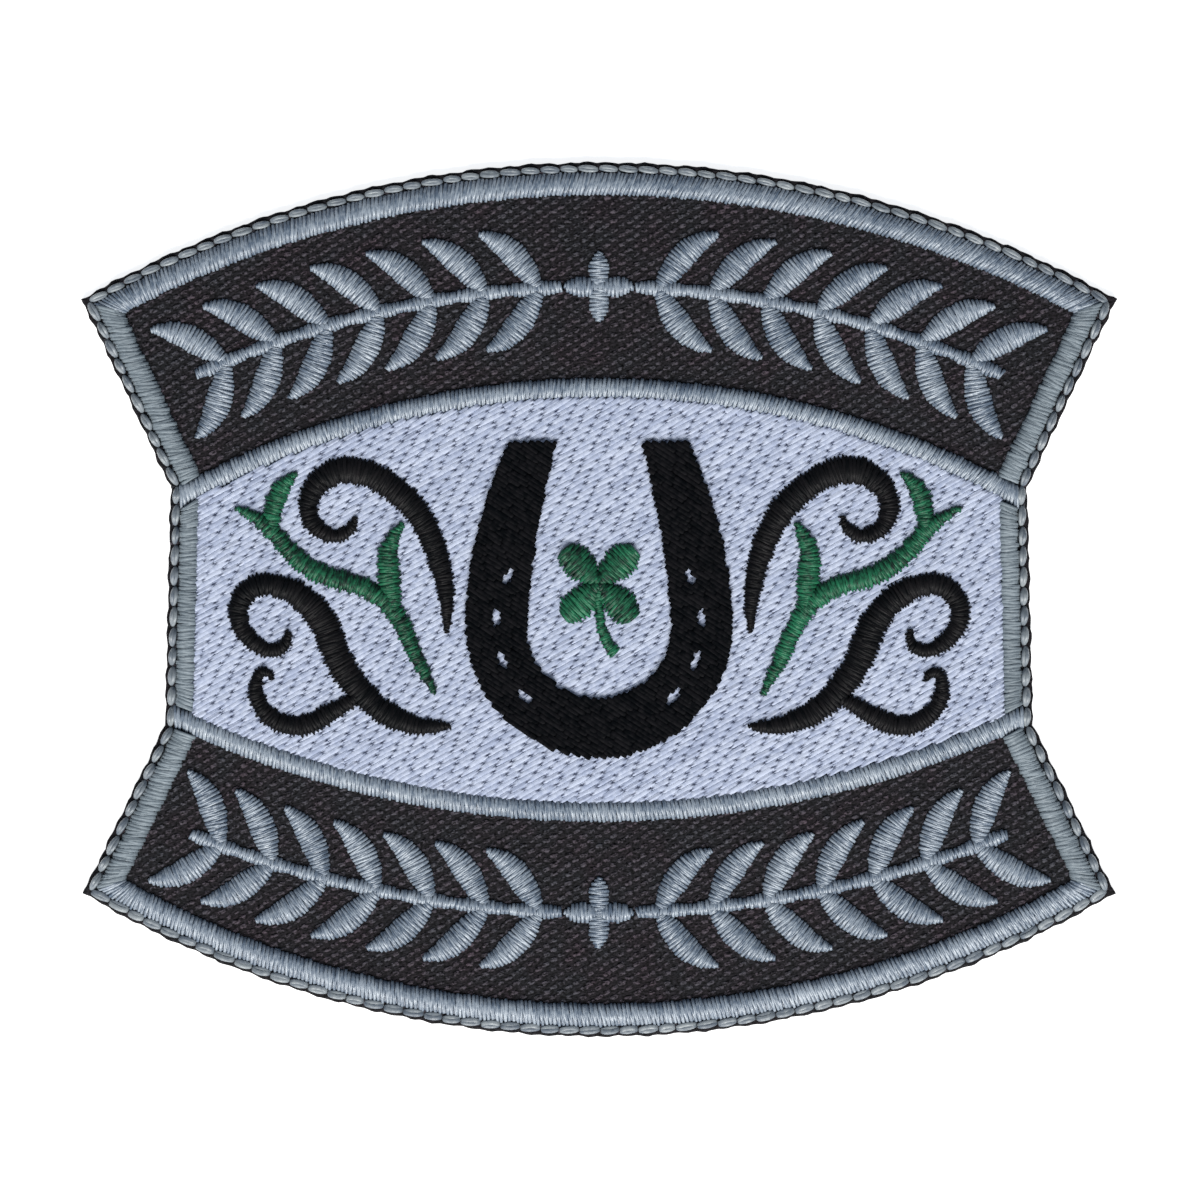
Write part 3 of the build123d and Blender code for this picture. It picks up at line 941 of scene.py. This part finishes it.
def twill_look(name, dark, grey, warm, spread):
    """Worn black cotton twill: short light and dark fibres along the weave, with warmer patches."""
    made = Finish(name)
    place = made.node("ShaderNodeTexCoord", {}, {}, 3)
    turned = {"Rotation": (0, 0, radians(weave_angle)), "Scale": speck_size}
    along = made.node("ShaderNodeMapping", {"vector_type": "TEXTURE"}, {"Vector": place, **turned})
    specks = made.noise(along, 1.0, 2.5)
    fuzz = made.noise(place, fuzz_scale, 2.0)
    patches = made.noise(place, patch_scale, 2.0)
    share = twill_lightness + made.attribute("tone") * twill_tone_weight + (specks - 0.5) * spread
    share = share + (fuzz - 0.5) * fuzz_weight
    lit = made.mix(made.clamped((patches - patch_level) * patch_contrast), (*grey, 1), (*warm, 1))
    return made.finish(
        {
            "Base Color": made.mix(made.clamped(share), (*dark, 1), lit),
            "Roughness": 0.7,
            "Specular IOR Level": 0.15,
            "Normal": made.bump(specks, 0.8, speck_height),
        }
    )


# Each finish: its thread's darker and lighter colours, the painted shade between threads and at needle holes,
# how strong its painted glints are, and its gloss
grey_look = thread_look(
    "grey_thread_finish",
    dark=(0.09, 0.128, 0.185), light=(0.33, 0.38, 0.44), shade=(0.08, 0.108, 0.155),
    painted_glint_weight=2.4, roughness=0.42, specular=1.0,
)
# The same grey thread, coloured a little darker, with less contrast and weaker painted glints for how the
# light falls on the side columns: painted shade
shaded_side_look = thread_look(
    "grey_side_shaded_finish",
    dark=(0.145, 0.178, 0.205), light=(0.232, 0.277, 0.312), shade=(0.1, 0.13, 0.15),
    painted_glint_weight=1.5, roughness=0.5, specular=0.5,
)
run_look = thread_look(
    "run_thread_finish",
    dark=(0.1, 0.125, 0.16), light=(0.27, 0.3, 0.32), shade=(0.03, 0.04, 0.055),
    painted_glint_weight=1.8, roughness=0.42, specular=0.7,
)
white_look = thread_look(
    "white_thread_finish",
    dark=(0.37, 0.42, 0.565), light=(0.55, 0.6, 0.74), shade=(0.022, 0.03, 0.07),
    painted_glint_weight=2.4, roughness=0.5, specular=0.2, painted_slit=0.055,
)
black_look = thread_look(
    "black_fill_finish",
    dark=(0.0004, 0.001, 0.0019), light=(0.0066, 0.0064, 0.0078), shade=(0.0004, 0.0007, 0.0011),
    painted_glint_weight=3.2, roughness=0.6, specular=0.05,
)
black_satin_look = thread_look(
    "black_satin_finish",
    dark=(0.0008, 0.0014, 0.0022), light=(0.0096, 0.0085, 0.0096), shade=(0.0006, 0.0009, 0.0013),
    painted_glint_weight=1.8, roughness=0.5, specular=0.12,
)
green_look = thread_look(
    "green_thread_finish",
    dark=(0.0015, 0.014, 0.009), light=(0.0175, 0.158, 0.076), shade=(0.001, 0.007, 0.006),
    painted_glint_weight=2.2, roughness=0.45, specular=0.28,
)
# The ground shows only between the floats and at the cut edge; it is coloured darker than the floats, painted
# shade in the gaps over the cloth's own black
ground_look = twill_look(
    "twill_ground_finish",
    dark=(0.0008, 0.0007, 0.001), grey=(0.02, 0.02, 0.024), warm=(0.025, 0.018, 0.023),
    spread=3.0,
)
float_look = twill_look(
    "twill_float_finish",
    dark=(0.0025, 0.002, 0.003), grey=(0.08, 0.079, 0.093), warm=(0.097, 0.071, 0.089),
    spread=3.8,
)


# Ground cloth
def closed_normals(points):
    """Outward unit normals of a closed outline that goes round to the left."""
    ahead = np.roll(points, -1) - np.roll(points, 1)
    return -1j * ahead / np.abs(ahead)


def make_cloth():
    """The twill cut to shape, its edge a little uneven where each edge stitch draws it in."""
    edge = outline(0.0, 0.4)
    normals = closed_normals(edge)
    run = np.cumsum(np.abs(edge - np.roll(edge, 1)))
    wave = stitch_wave * np.sin(2 * pi * run / run_stitch_pitch)
    wave = wave + slow_wave * np.sin(2 * pi * run / slow_wave_length + 1)
    edge = edge + normals * (wave - edge_draw + chance.normal(0, edge_scatter, len(edge)))
    insets, heights = np.array(edge_rings).T[:, :, None]
    rings = lifted(edge - normals * insets, heights)
    index = np.arange(rings.size // 3).reshape(1, len(edge_rings), len(edge))
    mesh = bpy.data.meshes.new("twill_cloth")
    mesh.from_pydata((rings.reshape(-1, 3) * MM).tolist(), [], tube_faces(index))
    mesh.materials.append(ground_look)
    mesh.update()
    cloth = bpy.data.objects.new("twill_cloth", mesh)
    scene.collection.objects.link(cloth)
    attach(cloth, "root")
    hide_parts("twill_ground")
    return cloth


def band_region(side, border_arc, divider_arc, spare):
    """Outline of the bare twill of one band, with a spare strip under the stitching round it."""
    outer = inset_arc(border_arc, bowed_inner_inset - spare)
    inner = inset_arc(divider_arc, spare)
    return between_arcs(outer, inner, inset_line(side, slant_inner_inset - spare), 60)


def weave_floats():
    """The raised floats of the twill where it shows."""
    columns_each_way = ceil(top_width / 2 / float_step) + 1
    rows_each_way = ceil(patch_height / 2 / float_row_step) + 1
    columns = np.arange(-columns_each_way, columns_each_way + 1)
    rows = np.arange(-rows_each_way, rows_each_way + 1)
    column, row = np.meshgrid(columns, rows)
    spots = (column + (row % 2) / 2) * float_step + 1j * row * float_row_step
    spots = spots.ravel()
    slip = chance.normal(0, float_slip, len(spots))
    spots = spots + slip + 1j * chance.normal(0, float_row_slip, len(spots))
    shown = inside(spots, band_region(upper_side, top_arc, upper_divider_arc, float_tuck))
    shown |= inside(spots, band_region(lower_side, bottom_arc, lower_divider_arc, float_tuck))
    shown |= inside(spots, outline(rim_inset)) & ~inside(spots, outline(edge_lane + rim_tuck))
    spots = spots[shown]
    lengths = float_length * chance.uniform(*float_lengths, len(spots))
    tilts = np.radians(float_tilt + chance.normal(0, float_tilt_scatter, len(spots)))
    reach = lengths / 2 * np.exp(1j * tilts)
    tones = chance.normal(0, float_tone_scatter, len(spots))
    crowns = float_height + chance.normal(0, float_height_scatter, len(spots))
    made = Stitching("twill_floats")
    lay(made, spots - reach, spots + reach, float_seat, crowns, float_thread, float_shape, float_dome, tones)
    return made.finish(float_look, "black_twill")


def run_stitches():
    """The run of long stitches that holds the cut edge, each two strands lying side by side."""
    made = Stitching("edge_run_stitches")
    lanes = [top_run, *[side_run] * 3, bottom_run, *[side_run] * 3]
    for number, lane in enumerate(lanes):
        path = outline_stretches(lane.inset, 0.2)[number]
        run = np.concatenate([[0], np.cumsum(np.abs(np.diff(path)))])
        count = round(run[-1] / run_stitch_pitch)
        holes = run[-1] * np.arange(count + 1) / count
        holes[1:-1] += chance.normal(0, run_hole_scatter, count - 1)
        spots = points_at(holes, run, path)
        starts, ends = spots[:-1], spots[1:]
        ahead = (ends - starts) / np.abs(ends - starts)
        slant = -1j * ahead * np.where(ahead.real < 0, -run_slant, run_slant)
        starts = starts + run_gap * ahead + slant
        ends = ends - run_gap * ahead - slant
        thread = Thread(lane.width, run_swell * lane.height, lane.tip)
        dome = Dome(lane.roundness, 0, run_foot)
        for strand in (-1, 1):
            crowns = lane.height + chance.normal(0, run_height_scatter, count)
            tones = thread_tones(count)
            bows = strand * lane.bow + chance.normal(0, run_bow_scatter, (count, 1))
            lay(made, starts, ends, ground_thickness, crowns, thread, run_shape, dome, tones, bow=bows)
    return made.finish(run_look, "grey_thread")


pieces = [weave_floats(), run_stitches()]


def satin_piece(name, rail_list, sewing, material, slot):
    """The satin columns that stand for one node."""
    made = Stitching(f"{name}_stitching")
    for rails in rail_list:
        satin(made, rails, sewing)
    pieces.append(made.finish(material, slot, name))


def fill_piece(name, polygons, rows, material, slot):
    """The fill stitching that stands for one node."""
    made = Stitching(f"{name}_stitching")
    fill(made, polygons, rows)
    pieces.append(made.finish(material, slot, name))


# Borders and dividers
top_mitre = mitre(top_arc, upper_side)
bottom_mitre = mitre(bottom_arc, lower_side)
lane_line = inset_line(middle_side, edge_lane)


def grey_column(name, rails, width, look=grey_look, dome=satin_dome, thread=satin_thread):
    """A border or divider."""
    sewing = Sewing(face_height, column_height + column_swell, width, column_ragged, dome, thread)
    satin_piece(name, [rails], sewing, look, "grey_thread")


for name, arc, corners, leans, dome in (
    ("top_border", top_arc, top_mitre, (0.3, 1.3), Dome(2.2, 0.1)),
    ("bottom_border", bottom_arc, bottom_mitre, (0.5, 0.35), Dome(2.3, -0.22)),
):
    rails = bowed_rails(inset_arc(arc, edge_lane), bowed_border_width, *corners, leans)
    grey_column(name, rails, bowed_border_width, dome=dome)

for name, arc, leans, dome in (
    ("upper_divider", upper_divider_arc, (0.1, 0.5), Dome(2.3, -0.2)),
    ("lower_divider", lower_divider_arc, (0.5, 0.2), Dome(2.3, -0.12)),
):
    ends = line_meets_arc(lane_line, arc), line_meets_arc(lane_line, inset_arc(arc, divider_width))
    grey_column(name, bowed_rails(arc, divider_width, *ends, leans), divider_width, dome=dome)

upper_butt = crossing(upper_side, slant_inner_inset, inset_arc(upper_divider_arc, -joint_gap))
lower_butt = crossing(lower_side, slant_inner_inset, inset_arc(lower_divider_arc, -joint_gap))
panel_top_arc = inset_arc(upper_divider_arc, divider_width + joint_gap)
panel_bottom_arc = inset_arc(lower_divider_arc, divider_width + joint_gap)
upper_middle = crossing(middle_side, middle_inner_inset, panel_top_arc)
lower_middle = crossing(middle_side, middle_inner_inset, panel_bottom_arc)
side_columns = (
    ("upper", upper_side, slant_border_width, top_mitre, upper_butt, 0.0, -0.7),
    ("middle", middle_side, middle_border_width, upper_middle, lower_middle, 0.0, 0.0),
    ("lower", lower_side, slant_border_width, lower_butt, bottom_mitre, 0.5, 0.75),
)
for name, side, width, upper_end, lower_end, right_lean, left_lean in side_columns:
    outer_ends, inner_ends = zip(upper_end, lower_end)
    right_rails = side_rails(side, width, outer_ends, inner_ends, right_lean)
    left_rails = left_twin(side_rails(side, width, outer_ends, inner_ends, left_lean))
    grey_column(f"{name}_right_border", right_rails, width, shaded_side_look, side_dome, level_thread)
    grey_column(f"{name}_left_border", left_rails, width, shaded_side_look, side_dome, level_thread)

# White field
panel_side = inset_line(middle_side, middle_inner_inset + joint_gap)
panel_top_corner = line_meets_arc(panel_side, panel_top_arc)
panel_bottom_corner = line_meets_arc(panel_side, panel_bottom_arc)
top_turn = arc_angle(panel_top_arc, panel_top_corner)
bottom_turn = arc_angle(panel_bottom_arc, panel_bottom_corner)
panel_outline = np.concatenate(
    [
        arc_points(inset_arc(panel_top_arc, -panel_tuck), np.linspace(top_turn, -top_turn, 120)),
        arc_points(inset_arc(panel_bottom_arc, -panel_tuck), np.linspace(-bottom_turn, bottom_turn, 120)),
    ]
)
# shade: how strong the painted slit of shade at each needle hole is, least and most
white_rows = Rows(
    angle=fill_row_angle, pitch=fill_row_pitch, seat=face_height,
    height=fill_height + fill_swell, scatter=0.2, shade=(0.75, 1.0), spare=0.22, foot=0.72,
    ragged=0.16, thread=fill_thread,
)
fill_piece("white_panel", [panel_outline], white_rows, white_look, "white_thread")


# Band ornament
def band_place(divider_arc, outwards, along, growing):
    """Sets a motif at a distance along a band, growing to the right (1) or left (-1)."""
    reach = divider_arc.radius + outwards
    radial = 1j * divider_arc.side * np.exp(-1j * divider_arc.side * along / reach)
    origin = divider_arc.centre + reach * radial
    ahead = growing * -1j * divider_arc.side * radial
    return lambda points: origin + points * ahead


bands = (
    ("upper", upper_side, upper_divider_arc, half_height - bowed_inner_inset - upper_divider_height),
    ("lower", lower_side, lower_divider_arc, half_height - bowed_inner_inset - lower_divider_depth),
)


def grey_motif(name, strokes, place):
    """A sprig or rosette."""
    rail_list = [stroke_rails(stroke, place) for stroke in strokes]
    crown = stroke_height + leaf_swell
    sewing = Sewing(face_height, crown, leaf_full_width, leaf_ragged, satin_dome, satin_thread)
    satin_piece(name, rail_list, sewing, grey_look, "grey_thread")


for band_name, side, divider_arc, band_depth in bands:
    middle = band_depth / 2
    branch_height = band_depth - 2 * branch_clearance
    middle_arc = inset_arc(divider_arc, -middle)
    band_end = line_meets_arc(inset_line(side, slant_inner_inset), middle_arc)
    band_reach = middle_arc.radius * np.arcsin(band_end.real / middle_arc.radius)
    last_sprig = band_reach - sprig_end_clearance - branch_height / 2
    sprig_pitch = (last_sprig - first_sprig) / (sprigs_per_branch - 1)
    sprig_strokes = sized(sprig_shares, branch_height, branch_height, branch_height)
    for half, growing in (("right", 1), ("left", -1)):
        for number in range(sprigs_per_branch):
            along = growing * (first_sprig + number * sprig_pitch)
            place = band_place(divider_arc, middle, along, growing)
            grey_motif(f"{band_name}_{half}_sprig_{number + 1}", sprig_strokes, place)
    rosette_strokes = sized(flower(rosette_petal, 0), rosette_span, rosette_span, rosette_span)
    grey_motif(f"{band_name}_rosette", rosette_strokes, band_place(divider_arc, middle, 0, 1))

# Centre motif
motif_top = panel_top_arc.centre.imag + panel_top_arc.radius - motif_end_clearance
motif_bottom = panel_bottom_arc.centre.imag - panel_bottom_arc.radius + motif_end_clearance
motif_half_height = (motif_top - motif_bottom) / 2
motif_half_width = panel_top_corner.real - motif_side_clearance
motif_middle = 1j * (motif_top + motif_bottom) / 2
toe_radius = horseshoe_width / 2
toe_inner_radius = toe_radius - toe_web
toe_middle = 1j * (toe_radius - motif_half_height)
heel_outer_x = toe_radius - heel_inset
branch_middle_y = (toe_middle.imag + motif_half_height) / 2
branch_bow = heel_inset / 4


def horseshoe_outlines():
    """The shoe's outline and its nail slots."""
    shares = np.linspace(0, 1, 40, endpoint=False)
    sides = []
    for radius, heel_x in ((toe_radius, heel_outer_x), (toe_inner_radius, heel_outer_x - heel_web)):
        heel = complex(heel_x, motif_half_height)
        branch_middle = complex(radius - branch_bow, branch_middle_y)
        right = arc_through(heel, branch_middle, radius + toe_middle, shares)
        toe = toe_middle + radius * np.exp(-1j * pi * shares)
        left = arc_through(-radius + toe_middle, mirrored_point(branch_middle), mirrored_point(heel), shares)
        sides.append(np.concatenate([right, toe, left, [mirrored_point(heel)]]))
    shoe = np.concatenate([sides[0], sides[1][::-1]])
    outlines = [shoe + motif_middle]
    ring = toe_radius - toe_web / 2
    for number in range(slots_per_side):
        for turn in (first_slot_angle + number * slot_step, 180 - first_slot_angle - number * slot_step):
            out = exp(1j * radians(turn))
            ends = (slot_length - slot_width) / 2 * 1j * out
            cap = slot_width / 2 * np.exp(1j * np.linspace(0, pi, 8))
            slot = np.concatenate([ends + cap * out, -ends - cap * out])
            outlines.append(motif_middle + toe_middle + ring * out + slot)
    return outlines


# Only faint painted shade at the needle holes of the black rows
black_rows = Rows(
    angle=motif_row_angle, pitch=motif_row_pitch, seat=panel_face_height,
    height=motif_fill_height + fill_swell, scatter=0.5, shade=(0.0, 0.3), spare=0.1, foot=0.88,
    ragged=0.14, thread=dull_fill_thread,
)
fill_piece("horseshoe", horseshoe_outlines(), black_rows, black_look, "black_thread")


def centre_motif(name, strokes, middle, full_width, material, slot, thread=stroke_thread):
    """A clover, scroll or vine."""
    rail_list = [stroke_rails(stroke, lambda points: points + middle) for stroke in strokes]
    crown = stroke_height + motif_swell
    sewing = Sewing(panel_face_height, crown, full_width, motif_ragged, stroke_dome, thread)
    satin_piece(name, rail_list, sewing, material, slot)


clover_strokes = sized(flower(clover_petal, 45) + clover_stem, clover_span, clover_span, clover_span)
clover_middle = motif_middle + 1j * clover_rise
centre_motif("clover", clover_strokes, clover_middle, petal_full_width, green_look, "green_thread")
for name, shares, width, material, slot, thread in (
    ("upper_scroll", upper_scroll, scroll_width, black_satin_look, "black_thread", dull_stroke_thread),
    ("lower_scroll", lower_scroll, scroll_width, black_satin_look, "black_thread", dull_stroke_thread),
    ("vine", vine, vine_width, green_look, "green_thread", stroke_thread),
):
    strokes = sized(shares, motif_half_width, motif_half_height, width)
    full_width = width * full_width_share
    centre_motif(f"right_{name}", strokes, motif_middle, full_width, material, slot, thread)
    centre_motif(f"left_{name}", mirrored(strokes), motif_middle, full_width, material, slot, thread)

# The cloth is a sheet cut to the outline, with all the stitching on it
cloth = make_cloth()
cut = outline(0.0)
cut_area = abs((np.conjugate(cut) * np.roll(cut, -1)).imag.sum() / 2)
cut_area * MM**2

# Floor, light and camera; the floor lies a hair under the cloth, so that the two faces never show through
floor_drop = 0.05
bpy.ops.object.select_all(action="DESELECT")
bpy.ops.mesh.primitive_plane_add(size=6, location=(0, 0, -floor_drop * MM))
floor = bpy.context.object
floor.name = "floor"
floor_finish = Finish("floor_paper")
floor_grain = floor_finish.noise(floor_finish.node("ShaderNodeTexCoord", {}, {}, 3), 40.0)
floor.data.materials.append(
    floor_finish.finish(
        {
            "Base Color": floor_finish.mix(floor_grain, (0.9, 0.9, 0.9, 1), (0.93, 0.93, 0.93, 1)),
            "Roughness": 0.8,
            "Specular IOR Level": 0.1,
            "Emission Color": (1, 1, 1, 1),
            "Emission Strength": 0.78,
        }
    )
)

world = bpy.data.worlds.new("studio")
scene.world = world
world.use_nodes = True
sky = world.node_tree.nodes["Background"]
sky.inputs["Color"].default_value = (0.72, 0.84, 1.0, 1)
sky.inputs["Strength"].default_value = 0.25

light = bpy.data.lights.new("scanner_lamp", "AREA")
light.shape = "RECTANGLE"
light.size = 2.4
light.size_y = 1.1
light.energy = 70.0
light.color = (1.0, 0.985, 0.95)
lamp = bpy.data.objects.new("scanner_lamp", light)
scene.collection.objects.link(lamp)
lamp.location = (0.0, -1.5, 1.4)
lamp.rotation_euler = (-lamp.location).to_track_quat("-Z", "Y").to_euler()

photo_width = 115.6
photo_middle = 0.1 - 0.05j
lens = 200
sensor = 36
camera_data = bpy.data.cameras.new("camera")
camera_data.lens = lens
camera_data.sensor_width = sensor
camera = bpy.data.objects.new("camera", camera_data)
scene.collection.objects.link(camera)
camera_height = photo_width * lens / sensor + ground_thickness
camera.location = (photo_middle.real * MM, photo_middle.imag * MM, camera_height * MM)
camera_data.clip_start = 0.01
camera_data.clip_end = 20
scene.camera = camera
scene.view_settings.view_transform = "Standard"
